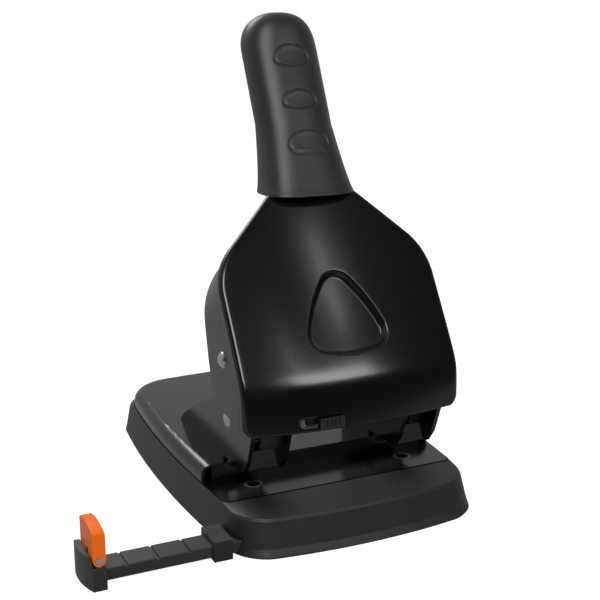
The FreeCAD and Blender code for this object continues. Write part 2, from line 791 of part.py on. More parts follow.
def core_rivets():
    """The rivets that join the core and the rear shell."""
    pieces = []
    for height in core_rivet_heights:
        shank, head = core_rivet(height)
        pieces.append(shank.fuse(head).removeSplitter())
    return Part.makeCompound(pieces)


def oval_wire(y, z, half_width, half_depth, power):
    """A level, softly squared oval of the grip."""
    points = []
    for step in range(grip_points):
        angle = 2 * math.pi * step / grip_points
        cosine, sine = math.cos(angle), math.sin(angle)
        across = math.copysign(abs(cosine) ** (2 / power), cosine)
        along = math.copysign(abs(sine) ** (2 / power), sine)
        points.append(Vector(half_width * across, y + half_depth * along, z))
    curve = Part.BSplineCurve()
    curve.interpolate(points, PeriodicFlag=True)
    return Part.Wire([curve.toShape()])


def handle_grip():
    """The soft grip over the neck of the shells and the core."""
    def between(low, high, share):
        return low + (high - low) * share

    sections = []
    for share in grip_taper_shares:
        ease = share ** grip_taper_power
        z = between(grip_bottom_z, grip_waist_z, share)
        sections.append(oval_wire(between(grip_foot_y, grip_waist_y, share), z,
                                  between(grip_bottom_half_width, grip_waist_half_width, ease),
                                  between(grip_bottom_half_depth, grip_waist_half_depth, ease),
                                  between(grip_foot_power, grip_head_power, share)))
    for share in grip_rise_shares:
        z = between(grip_waist_z, grip_dome_z, share)
        sections.append(oval_wire(between(grip_waist_y, grip_dome_y, share), z,
                                  between(grip_waist_half_width, grip_head_half_width, share),
                                  between(grip_waist_half_depth, grip_head_half_depth, share),
                                  grip_head_power))
    for share in grip_dome_shares:
        z = between(grip_dome_z, grip_top_z, share)
        narrowing = (1 - share ** grip_dome_power) ** (1 / grip_dome_power)
        sections.append(oval_wire(between(grip_dome_y, grip_tip_y, share), z,
                                  grip_head_half_width * narrowing, grip_head_half_depth * narrowing,
                                  grip_head_power))
    body = Part.makeLoft(sections, True, False)
    low_z = grip_bottom_z - overrun
    top_z = neck_top_z + grip_pocket_gap
    front_low, front_top = [fold_y + face_slope * (z - fold_z) - crown_bow(z) - grip_pocket_gap * face_stretch
                            for z in (low_z, top_z)]
    pocket = side_prism([(front_low, low_z), (front_top, top_z), (web_y(top_z) + grip_pocket_gap, top_z),
                         (web_y(low_z) + grip_pocket_gap, low_z)], -far, far)
    pocket = pocket.common(lever_outline(-grip_pocket_gap))
    core = side_prism(core_outline(), -core_half_width, core_half_width)
    return body.cut(pocket).cut(core)


# Lock slider
def skirt_y(x):
    """The outer face of the skirt at a distance from the middle plane."""
    return fold_y - skirt_bow * (1 - (x / cover_outer_x) ** 2)


def lock_plate_y():
    """The front of the plate behind the skirt, clear of it over the whole travel."""
    reach = lock_width / 2 + lock_gap + finger_width + lock_travel
    return skirt_y(lock_x - reach) + shell_sheet + lock_gap


def lock_button():
    """The ribbed button of the lock slider, with its neck through the slot."""
    face_y = skirt_y(lock_x + lock_width / 2) - lock_gap
    front = box(lock_x - lock_width / 2, lock_x + lock_width / 2, face_y - lock_proud, face_y,
                lock_bottom_z, lock_bottom_z + lock_height)
    upright = edges_where(front, lambda p: abs(p.z - lock_bottom_z - lock_height / 2) < lock_gap
                          and abs(p.y - face_y + lock_proud / 2) > lock_gap)
    front = front.makeFillet(lock_proud - lock_gap, [edge for edge in upright if edge.BoundBox.YMax < face_y])
    neck_low = lock_bottom_z + (lock_height - lock_neck_height) / 2
    inner_y = lock_plate_y()
    neck = box(lock_x - lock_neck_width / 2, lock_x + lock_neck_width / 2, face_y, inner_y,
               neck_low, neck_low + lock_neck_height)
    button = front.fuse(neck).removeSplitter()
    for index in range(lock_ribs + 1):
        x = lock_x + (index - lock_ribs / 2) * 2 * lock_rib_width
        groove = box(x - lock_rib_width / 2, x + lock_rib_width / 2,
                     face_y - lock_proud - overrun, face_y - lock_proud / 2,
                     lock_bottom_z + lock_rib_width, lock_bottom_z + lock_height - lock_rib_width)
        button = button.cut(groove)
    return button


def lock_finger():
    """The steel finger behind the skirt, which hooks over the catch."""
    plate_y = lock_plate_y()
    middle_z = lock_bottom_z + lock_height / 2
    plate = box(lock_x - lock_width / 2, lock_x + lock_width / 2, plate_y, plate_y + lock_plate,
                middle_z - finger_height / 2, middle_z + finger_height / 2)
    left = lock_x - lock_width / 2 - lock_gap
    finger = box(left - finger_width, left + lock_plate, plate_y, plate_y + finger_depth,
                 middle_z - finger_height / 2, middle_z + finger_height / 2)
    return plate.fuse(finger).removeSplitter()


def lock_catch():
    """The catch plate on the inner wall of the left frame."""
    start, end = math.radians(catch_start_deg), math.radians(catch_end_deg)
    x1 = -frame_inner_x + catch_thickness
    hub = rod_x(-frame_inner_x, x1, pivot_y, pivot_z, boss_radius)
    sector = side_prism([(pivot_y, pivot_z),
                         (pivot_y + catch_reach * math.cos(start), pivot_z + catch_reach * math.sin(start)),
                         (pivot_y + catch_reach * math.cos(end), pivot_z + catch_reach * math.sin(end))],
                        -frame_inner_x, x1)
    plate = hub.fuse(sector).removeSplitter()
    return plate.cut(rod_x(-far, 0, pivot_y, pivot_z, shaft_radius + 2 * running_clearance))


# Paper guide
def guide_bar():
    """The guide's sliding bar with its index notches."""
    bar = box(bar_left_x, bar_left_x + bar_length, bar_front_y, bar_rear_y, bar_bottom_z, bar_top_z)
    middle_x = bar_left_x + bar_length / 2
    bar = bar.makeFillet(bar_edge_round, edges_where(bar, lambda p: abs(p.x - middle_x) < edge_tolerance))
    for index in range(bar_marks):
        x = bar_left_x + bar_mark_first + index * bar_mark_pitch
        bar = bar.cut(box(x, x + bar_mark_width, bar_front_y, bar_rear_y,
                          bar_top_z - bar_mark_depth, bar_top_z))
    return bar


def end_block():
    """The block at the guide's outer end, with a bulging cheek beside the flag."""
    right, left = bar_left_x, bar_left_x - block_width
    body = box(left, right, block_front_y, block_rear_y, block_bottom_z, block_height)
    body = body.makeFillet(block_edge_round, edges_where(body, lambda p: abs(p.x - right) < edge_tolerance
                                                         or abs(p.z - block_height) < edge_tolerance))
    front = Vector(left, block_front_y, block_bottom_z)
    rear = Vector(left, block_rear_y, block_bottom_z)
    bulge = rear - Vector(block_cheek, 0, 0)
    middle = (front + bulge) / 2 - Vector(block_bulge, 0, 0)
    plan = Part.Wire([Part.Arc(front, middle, bulge).toShape(), Part.makeLine(bulge, rear),
                      Part.makeLine(rear, front)])
    cheek = Part.Face(plan).extrude(Vector(0, 0, cheek_top_z - block_bottom_z))
    cut_start = Vector(left - far, block_front_y + cheek_shoulder, cheek_top_z)
    cut_end = Vector(left - far, block_front_y, block_height)
    lift = (cheek_top_z - block_height) / 4
    cut_middle = (cut_start + cut_end) / 2 + Vector(0, -lift, lift)
    corner = Vector(left - far, block_front_y - far, cheek_top_z + far)
    shoulder = Part.Wire([Part.Arc(cut_start, cut_middle, cut_end).toShape(),
                          Part.makeLine(cut_end, Vector(corner.x, corner.y, block_height)),
                          Part.makeLine(Vector(corner.x, corner.y, block_height), corner),
                          Part.makeLine(corner, Vector(corner.x, cut_start.y, corner.z)),
                          Part.makeLine(Vector(corner.x, cut_start.y, corner.z), cut_start)])
    cheek = cheek.cut(Part.Face(shoulder).extrude(Vector(far + far, 0, 0)))
    return body.fuse([cheek, pin_ear()]).removeSplitter()


def pin_ear():
    """The upright ear in the middle of the block that the flag's pin goes through."""
    middle_y = (block_front_y + block_rear_y) / 2
    front, rear = middle_y - ear_half_depth, middle_y + ear_half_depth
    ear = rod_y(front, rear, flag_pin_x, flag_pin_z, ear_radius)
    post = box(flag_pin_x - ear_radius, flag_pin_x + ear_radius, front, rear,
               block_height - ear_radius, flag_pin_z)
    return ear.fuse(post).cut(rod_y(-far, 0, flag_pin_x, flag_pin_z, flag_pin_radius))


def stop_flag():
    """The bright stop flag, which turns down on its pin, with a slot for the block's ear."""
    left, front = flag_pin_x - flag_lobe_radius, block_front_y
    middle_y = (front + flag_rear_y) / 2
    low_front, low_rear = Vector(left, front, flag_pin_z), Vector(left, flag_rear_y, flag_pin_z)
    high_front, high_rear = Vector(left, front, flag_side_z), Vector(left, flag_rear_y, flag_side_z)
    crown = Part.Arc(high_front, Vector(left, middle_y, flag_side_z + flag_crown), high_rear).toShape()
    side = Part.Wire([Part.makeLine(low_front, high_front), crown, Part.makeLine(high_rear, low_rear),
                      Part.makeLine(low_rear, low_front)])
    flag = Part.Face(side).extrude(Vector(flag_thickness, 0, 0))
    flag = flag.makeFillet(flag_edge_round, edges_where(flag, lambda p: p.z > flag_side_z - edge_tolerance))
    flag = flag.fuse(rod_y(front, flag_rear_y, flag_pin_x, flag_pin_z, flag_lobe_radius)).removeSplitter()
    ear_middle = (block_front_y + block_rear_y) / 2
    half_slot = ear_half_depth + flag_side_gap
    slot = box(flag_pin_x - far, flag_pin_x + far, ear_middle - half_slot, ear_middle + half_slot,
               0, flag_pin_z + ear_radius + flag_side_gap)
    return flag.cut(slot).cut(rod_y(-far, 0, flag_pin_x, flag_pin_z, flag_pin_radius + running_clearance))


def flag_pin():
    """The bright pin of the flag, with a head in front."""
    shank = rod_y(block_front_y, flag_rear_y, flag_pin_x, flag_pin_z, flag_pin_radius)
    head = rod_y(block_front_y - flag_pin_head, block_front_y, flag_pin_x, flag_pin_z, flag_pin_head_radius)
    return shank.fuse(head).removeSplitter()


def foot_screws():
    """The four screws that hold the frames on the deck."""
    screws = []
    seat = deck_height + frame_sheet
    for side in (-1, 1):
        for y in foot_screw_ys:
            shank = rod_z(seat - frame_sheet - foot_screw_below, seat, side * foot_x, y, foot_screw_radius)
            head = rod_z(seat, seat + foot_screw_head, side * foot_x, y, foot_screw_head_radius)
            socket = rod_z(seat + foot_screw_head / 2, seat + foot_screw_head, side * foot_x, y,
                           foot_screw_socket)
            screws.append(shank.fuse(head).removeSplitter().cut(socket))
    return Part.makeCompound(screws)


def build():
    """Builds every piece and writes it."""
    os.makedirs("parts", exist_ok=True)
    save("base_tray", base_tray())
    save("base_deck", base_deck())
    save("foot_screws", foot_screws())
    save("frame_tie_rod", riveted_rod(tie_rod_y, tie_rod_z, tie_rod_radius, frame_outer_x,
                                      frame_rivet_height))
    save("lock_catch", lock_catch())
    for name, maker in (("side_frame", side_frame), ("punch_guide", punch_guide), ("pivot_bush", pivot_bush),
                        ("cam", cam), ("cam_pin", cam_pin), ("punch_pin", punch_pin),
                        ("return_spring", return_spring)):
        piece = maker()
        save(name + "_right", piece)
        save(name + "_left", mirrored(piece))
    save("die_right", die(punch_x))
    save("die_left", die(-punch_x))
    save("lever_front_cover", front_cover())
    save("lever_rear_shell", rear_shell())
    save("lever_cross_rod", riveted_rod(cross_rod_y, cross_rod_z, cross_rod_radius, flange_outer_x,
                                        lever_rivet_height))
    save("pivot_shaft", pivot_shaft())
    save("pivot_washers", pivot_washers())
    save("handle_core", handle_core())
    save("core_rivets", core_rivets())
    save("handle_grip", handle_grip())
    save("lock_button", lock_button())
    save("lock_finger", lock_finger())
    save("guide_bar", guide_bar())
    save("guide_end_block", end_block())
    save("stop_flag", stop_flag())
    save("flag_pin", flag_pin())


build()
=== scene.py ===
"""The looks of a two-hole desk punch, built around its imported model.

Sizes are millimetres in the classes, apart from those of the finishes and the lamps, which are metres as
Blender's are. Meshes are made in metres. +X is to the right as seen from the paper side, +Y points to the
back, and +Z points up.
"""

import json
import logging
import math
from dataclasses import dataclass
from enum import Enum
from typing import Iterable, Sequence

import bpy
import numpy as np
from mathutils import Matrix, Vector


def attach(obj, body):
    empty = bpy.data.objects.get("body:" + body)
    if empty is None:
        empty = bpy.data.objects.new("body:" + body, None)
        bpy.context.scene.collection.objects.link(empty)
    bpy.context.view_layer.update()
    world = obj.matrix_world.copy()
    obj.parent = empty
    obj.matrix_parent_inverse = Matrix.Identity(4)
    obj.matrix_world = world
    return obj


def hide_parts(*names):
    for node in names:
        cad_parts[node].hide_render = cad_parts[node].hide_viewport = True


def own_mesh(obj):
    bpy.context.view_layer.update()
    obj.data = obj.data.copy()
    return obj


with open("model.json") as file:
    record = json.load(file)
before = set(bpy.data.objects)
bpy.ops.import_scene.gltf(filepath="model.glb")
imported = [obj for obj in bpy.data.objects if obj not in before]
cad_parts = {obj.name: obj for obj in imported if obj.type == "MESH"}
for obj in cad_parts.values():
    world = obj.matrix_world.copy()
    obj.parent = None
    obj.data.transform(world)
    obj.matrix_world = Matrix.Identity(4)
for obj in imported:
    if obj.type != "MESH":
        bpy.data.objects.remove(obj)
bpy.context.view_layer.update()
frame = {"nodes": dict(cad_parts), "record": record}

log = logging.getLogger("desk_punch")
MM = 0.001
FLOAT_SOCKET = "NodeSocketFloat"
WHITE = (1.0, 1.0, 1.0, 1.0)


class Slot(Enum):
    """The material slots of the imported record."""

    BLACK_STEEL = "black_steel"
    TRAY_PLASTIC = "tray_plastic"
    GRIP_RUBBER = "grip_rubber"
    GUIDE_PLASTIC = "guide_plastic"
    SLIDER_PLASTIC = "slider_plastic"
    FLAG_PLASTIC = "flag_plastic"
    NICKEL = "nickel"
    TOOL_STEEL = "tool_steel"
    ZINC_STEEL = "zinc_steel"
    SPRING_STEEL = "spring_steel"
    BRONZE = "bronze"


def smooth_step(value: np.ndarray) -> np.ndarray:
    """Eases values from 0 to 1, held at both ends.

    Args:
        value: shares of the way, of any size.

    Returns:
        The eased shares.
    """
    held = np.clip(value, 0.0, 1.0)
    return held * held * (3.0 - 2.0 * held)


def between(low: float, high: float, share: float) -> float:
    """A value that lies a share of the way from low to high."""
    return low + (high - low) * share


def steps(*stretches: tuple[float, float, float]) -> list[float]:
    """Positions along a line, in stretches of even spacing.

    Args:
        stretches: (start, end, spacing) of each stretch, in order, end to start.

    Returns:
        All the positions, each once.
    """
    values: list[float] = []
    for start, end, spacing in stretches:
        count = max(1, round(abs(end - start) / spacing))
        first = 1 if values else 0
        values += [start + (end - start) * index / count for index in range(first, count + 1)]
    return values


def grid_faces(rows: int, columns: int, closed: bool) -> list[tuple[int, int, int, int]]:
    """The quads of a grid of points that are numbered row by row.

    Args:
        rows: number of rows.
        columns: number of points in a row.
        closed: whether each row runs round to its own start.

    Returns:
        The corner numbers of each quad.
    """
    faces = []
    last = columns if closed else columns - 1
    for row in range(rows - 1):
        for column in range(last):
            right = (column + 1) % columns
            low, high = row * columns, (row + 1) * columns
            faces.append((low + column, low + right, high + right, high + column))
    return faces


def make_mesh(name: str, points: Iterable[Sequence[float]],
              faces: Sequence[Sequence[int]]) -> bpy.types.Object:
    """Makes a smooth-shaded mesh object from points in millimetres.

    Args:
        name: the piece's name.
        points: the corner points.
        faces: the corner numbers of each face.

    Returns:
        The new object, linked to the scene.
    """
    mesh = bpy.data.meshes.new(name)
    metres = [tuple(value * MM for value in point) for point in points]
    mesh.from_pydata(metres, [], [tuple(face) for face in faces])
    mesh.validate()
    mesh.update()
    mesh.polygons.foreach_set("use_smooth", [True] * len(mesh.polygons))
    piece = bpy.data.objects.new(name, mesh)
    bpy.context.scene.collection.objects.link(piece)
    return piece


def bake_modifiers(piece: bpy.types.Object) -> None:
    """Turns a piece's modifiers into its own mesh.

    Args:
        piece: the piece that has the modifiers.
    """
    bpy.context.view_layer.update()
    graph = bpy.context.evaluated_depsgraph_get()
    finished = bpy.data.meshes.new_from_object(piece.evaluated_get(graph))
    piece.modifiers.clear()
    piece.data = finished


class NodeLayout:
    """A small helper that adds and joins shader nodes."""

    def __init__(self, tree: bpy.types.NodeTree) -> None:
        """Works on one node tree."""
        self.tree = tree

    def add(self, kind: str, **values: object) -> bpy.types.Node:
        """Adds a node and sets its properties.

        Args:
            kind: the node's type name.
            values: properties of the node by name.

        Returns:
            The new node.
        """
        node = self.tree.nodes.new(kind)
        for name, value in values.items():
            setattr(node, name, value)
        return node

    def join(self, source: bpy.types.NodeSocket, target: bpy.types.NodeSocket) -> None:
        """Links an output to an input."""
        self.tree.links.new(source, target)

    def math(self, operation: str, first: object, second: object) -> bpy.types.NodeSocket:
        """Adds a Math node that works on two numbers or sockets.

        Args:
            operation: the name of the Math operation.
            first: a number or a socket.
            second: a number or a socket.

        Returns:
            The result's socket.
        """
        node = self.add("ShaderNodeMath", operation=operation)
        for socket, value in zip(node.inputs, (first, second)):
            if isinstance(value, bpy.types.NodeSocket):
                self.join(value, socket)
            else:
                socket.default_value = value
        return node.outputs[0]

    def fill(self, node: bpy.types.Node, values: dict[str, object]) -> None:
        """Sets the constants of a node's inputs.

        Args:
            node: the node.
            values: the constants by the inputs' names.
        """
        for label, value in values.items():
            node.inputs[label].default_value = value


class EffectLayout(NodeLayout):
    """A new shader group with float inputs and one float output."""

    def __init__(self, name: str, inputs: dict[str, float], output: str) -> None:
        """Opens the group.

        Args:
            name: the group's name.
            inputs: the inputs and their usual values, with the texture's Scale among them.
            output: the output's name.
        """
        super().__init__(bpy.data.node_groups.new(name, "ShaderNodeTree"))
        sockets = self.tree.interface
        for label, value in inputs.items():
            socket = sockets.new_socket(name=label, in_out="INPUT", socket_type=FLOAT_SOCKET)
            socket.default_value = value
        sockets.new_socket(name=output, in_out="OUTPUT", socket_type=FLOAT_SOCKET)
        self.given = self.add("NodeGroupInput").outputs
        self.place = self.add("ShaderNodeTexCoord").outputs["Object"]
        self.result = self.add("NodeGroupOutput").inputs[output]

    def texture(self, kind: str, place: bpy.types.NodeSocket, **values: object) -> bpy.types.Node:
        """Adds a texture at the group's own scale.

        Args:
            kind: the node's type name.
            place: where the texture is read.
            values: properties of the node by name.

        Returns:
            The texture's node.
        """
        node = self.add(kind, **values)
        self.join(place, node.inputs["Vector"])
        self.join(self.given["Scale"], node.inputs["Scale"])
        return node

    def noise(self, place: bpy.types.NodeSocket, detail: float) -> bpy.types.NodeSocket:
        """Adds a noise texture.

        Args:
            place: where the noise is read.
            detail: how many finer layers it has.

        Returns:
            The noise, about 0.5.
        """
        node = self.texture("ShaderNodeTexNoise", place)
        self.fill(node, {"Detail": detail})
        return node.outputs["Fac"]


class SharedEffects:
    """The shader groups that more than one finish uses, each built once."""

    grain_detail = 3.0
    drift_detail = 4.0
    mark_detail = 2.0

    def __init__(self) -> None:
        """Builds the groups."""
        self.fine_grain = self.build_fine_grain()
        self.slow_drift = self.build_slow_drift()
        self.tool_marks = self.build_tool_marks()

    def build_fine_grain(self) -> bpy.types.NodeTree:
        """Makes the small bumps of a painted or moulded surface.

        Returns:
            The group, which puts out a height.
        """
        layout = EffectLayout("fine_grain", {"Scale": 900.0, "Pits": 0.3}, "Height")
        bumps = layout.noise(layout.place, self.grain_detail)
        cells = layout.texture("ShaderNodeTexVoronoi", layout.place, feature="SMOOTH_F1")
        pits = layout.math("MULTIPLY", cells.outputs["Distance"], layout.given["Pits"])
        layout.join(layout.math("ADD", bumps, pits), layout.result)
        return layout.tree

    def build_slow_drift(self) -> bpy.types.NodeTree:
        """Makes a soft, slow change over a surface.

        Returns:
            The group, which puts out a mask about 0.5.
        """
        layout = EffectLayout("slow_drift", {"Scale": 25.0}, "Mask")
        layout.join(layout.noise(layout.place, self.drift_detail), layout.result)
        return layout.tree

    def build_tool_marks(self) -> bpy.types.NodeTree:
        """Makes the fine lines along X that a grinding wheel or a drawing die leaves.

        Returns:
            The group, which puts out a height.
        """
        layout = EffectLayout("tool_marks", {"Scale": 400.0, "Length": 0.05}, "Height")
        axes = layout.add("ShaderNodeCombineXYZ")
        layout.fill(axes, {"Y": 1.0, "Z": 1.0})
        layout.join(layout.given["Length"], axes.inputs["X"])
        stretch = layout.add("ShaderNodeVectorMath", operation="MULTIPLY")
        layout.join(layout.place, stretch.inputs[0])
        layout.join(axes.outputs["Vector"], stretch.inputs[1])
        layout.join(layout.noise(stretch.outputs["Vector"], self.mark_detail), layout.result)
        return layout.tree


@dataclass(frozen=True)
class Finish:
    """One surface finish of the punch, worked out by shader nodes.

    The colour drifts slowly to the lighter one, the gloss changes with it, and a fine relief lies on top:
    grain, or tool marks where marks is set. Scales are per metre, and the relief's depth is in metres.
    """

    name: str
    colour: tuple[float, float, float]
    light: tuple[float, float, float]
    roughness: float
    gloss_change: float = 0.06
    metallic: float = 0.0
    coat: float = 0.0
    coat_roughness: float = 0.1
    specular: float = 0.5
    sheen: float = 0.0
    sheen_roughness: float = 0.5
    grain_scale: float = 900.0
    grain_depth: float = 0.00002
    drift_scale: float = 25.0
    marks: bool = False

    def build(self, effects: SharedEffects) -> bpy.types.Material:
        """Makes the finish's material.

        Args:
            effects: the shared shader groups.

        Returns:
            The material.
        """
        material = bpy.data.materials.new(self.name)
        material.use_nodes = True
        layout = NodeLayout(material.node_tree)
        shader = material.node_tree.nodes["Principled BSDF"]
        layout.fill(shader, {"Metallic": self.metallic, "Specular IOR Level": self.specular,
                             "Coat Weight": self.coat, "Coat Roughness": self.coat_roughness,
                             "Sheen Weight": self.sheen, "Sheen Roughness": self.sheen_roughness})
        drift = layout.add("ShaderNodeGroup", node_tree=effects.slow_drift)
        layout.fill(drift, {"Scale": self.drift_scale})
        tone = layout.add("ShaderNodeMix", data_type="RGBA")
        layout.join(drift.outputs["Mask"], tone.inputs["Factor"])
        layout.fill(tone, {"A": (*self.colour, 1.0), "B": (*self.light, 1.0)})
        layout.join(tone.outputs["Result"], shader.inputs["Base Color"])
        off_middle = layout.math("SUBTRACT", drift.outputs["Mask"], 0.5)
        shift = layout.math("MULTIPLY", off_middle, self.gloss_change * 2)
        layout.join(layout.math("ADD", shift, self.roughness), shader.inputs["Roughness"])
        relief = effects.tool_marks if self.marks else effects.fine_grain
        grain = layout.add("ShaderNodeGroup", node_tree=relief)
        layout.fill(grain, {"Scale": self.grain_scale})
        bump = layout.add("ShaderNodeBump")
        layout.fill(bump, {"Distance": self.grain_depth, "Strength": 1.0})
        layout.join(grain.outputs["Height"], bump.inputs["Height"])
        layout.join(bump.outputs["Normal"], shader.inputs["Normal"])
        return material


FINISHES = {
    Slot.BLACK_STEEL: Finish("baked_black_enamel", (0.0020, 0.0020, 0.0022), (0.0038, 0.0038, 0.0040), 0.19,
                             gloss_change=0.02, coat=0.10, coat_roughness=0.10, grain_scale=700.0,
                             grain_depth=0.000006, drift_scale=18.0),
    Slot.TRAY_PLASTIC: Finish("satin_tray_plastic", (0.0085, 0.0085, 0.0105), (0.0125, 0.0125, 0.0152), 0.48,
                              grain_scale=1500.0, grain_depth=0.00002),
    Slot.GRIP_RUBBER: Finish("soft_grip_rubber", (0.014, 0.0150, 0.0180), (0.020, 0.0215, 0.0255), 0.40,
                             sheen=0.04, grain_scale=1600.0, grain_depth=0.000018),
    Slot.GUIDE_PLASTIC: Finish("satin_guide_plastic", (0.014, 0.0148, 0.0162), (0.021, 0.0218, 0.0235), 0.45,
                               grain_scale=1500.0, grain_depth=0.00002),
    Slot.SLIDER_PLASTIC: Finish("satin_slider_plastic", (0.016, 0.016, 0.017), (0.022, 0.022, 0.023), 0.40,
                                grain_scale=1500.0, grain_depth=0.00001),
    Slot.FLAG_PLASTIC: Finish("glossy_orange_plastic", (0.95, 0.15, 0.004), (1.0, 0.18, 0.006), 0.36,
                              specular=0.2, grain_scale=900.0, grain_depth=0.000004),
    Slot.NICKEL: Finish("nickel_plate", (0.46, 0.46, 0.44), (0.55, 0.55, 0.53), 0.18, metallic=1.0,
                        grain_scale=1200.0, grain_depth=0.000006),
    Slot.TOOL_STEEL: Finish("ground_tool_steel", (0.16, 0.16, 0.165), (0.24, 0.24, 0.245), 0.28, metallic=1.0,
                            grain_scale=2500.0, grain_depth=0.000008, marks=True),
    Slot.ZINC_STEEL: Finish("zinc_plate", (0.09, 0.09, 0.095), (0.14, 0.14, 0.145), 0.38, metallic=1.0,
                            gloss_change=0.12, grain_scale=900.0, grain_depth=0.000012, drift_scale=60.0),
    Slot.SPRING_STEEL: Finish("drawn_spring_wire", (0.30, 0.30, 0.31), (0.42, 0.42, 0.43), 0.32, metallic=1.0,
                              grain_scale=3000.0, grain_depth=0.000006, marks=True),
    Slot.BRONZE: Finish("oiled_bronze", (0.40, 0.26, 0.12), (0.52, 0.35, 0.17), 0.42, metallic=1.0,
                        grain_scale=2200.0, grain_depth=0.00002),
}


class Dresser:
    """Gives every piece the finish of its slot, and every new piece its body."""

    def __init__(self) -> None:
        """Builds all the finishes."""
        effects = SharedEffects()
        self.materials = {slot: finish.build(effects) for slot, finish in FINISHES.items()}
        self.replaced: set[str] = set()

    def dress_node(self, name: str, slot: Slot) -> None:
        """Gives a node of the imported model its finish.

        Args:
            name: the node's name.
            slot: the finish's slot.
        """
        node = frame["nodes"][name]
        node.data.materials.clear()
        node.data.materials.append(self.materials[slot])
        log.info("node %s: %s", name, slot.value)

    def place(self, piece: bpy.types.Object, body: str, slot: Slot, *stands_for: str) -> None:
        """Gives a new piece its finish and its body.

        Args:
            piece: the new piece, in its place.
            body: the body that it rides on.
            slot: the finish's slot.
            stands_for: the nodes that it replaces.
        """
        piece.data.materials.clear()
        piece.data.materials.append(self.materials[slot])
        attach(piece, body)
        if stands_for:
            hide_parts(*stands_for)
            self.replaced.update(stands_for)
        log.info("piece %s rides on %s", piece.name, body)

    def dress_rest(self) -> None:
        """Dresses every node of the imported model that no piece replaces."""
        for part in frame["record"]["subparts"]:
            if part["node"] not in self.replaced:
                self.dress_node(part["node"], Slot(part["material_slot"]))


@dataclass(frozen=True)
class ThumbPad:
    """One of the soft-edged pads that are pressed into the grip's front.

    The middle and the height place its widest line, above which it rises and below which it falls. The
    powers say how square each half is.
    """

    middle: float
    height: float
    half_width: float
    rise: float
    fall: float
    rise_power: float = 2.0
    fall_power: float = 2.8

    def edge_distance(self, across: np.ndarray, up: np.ndarray) -> np.ndarray:
        """How far points lie outside the pad's edge, negative within it.

        Args:
            across: the points' distances to the right of the middle.
            up: the points' heights.

        Returns:
            The distances.
        """
        above = up - self.height
        reach = np.where(above > 0, self.rise, self.fall)
        power = np.where(above > 0, self.rise_power, self.fall_power)
        width_share = np.abs(across - self.middle) / self.half_width
        height_share = np.abs(above) / reach
        radius = (width_share ** power + height_share ** power) ** (1 / power)
        return (radius - 1.0) * np.minimum(self.half_width, reach)


THUMB_PADS = (
    ThumbPad(middle=0.4, height=211.2, half_width=8.6, rise=6.2, fall=3.6),
    ThumbPad(middle=0.4, height=191.7, half_width=8.2, rise=5.2, fall=3.2),
    ThumbPad(middle=0.8, height=172.6, half_width=9.9, rise=6.1, fall=3.9),
)


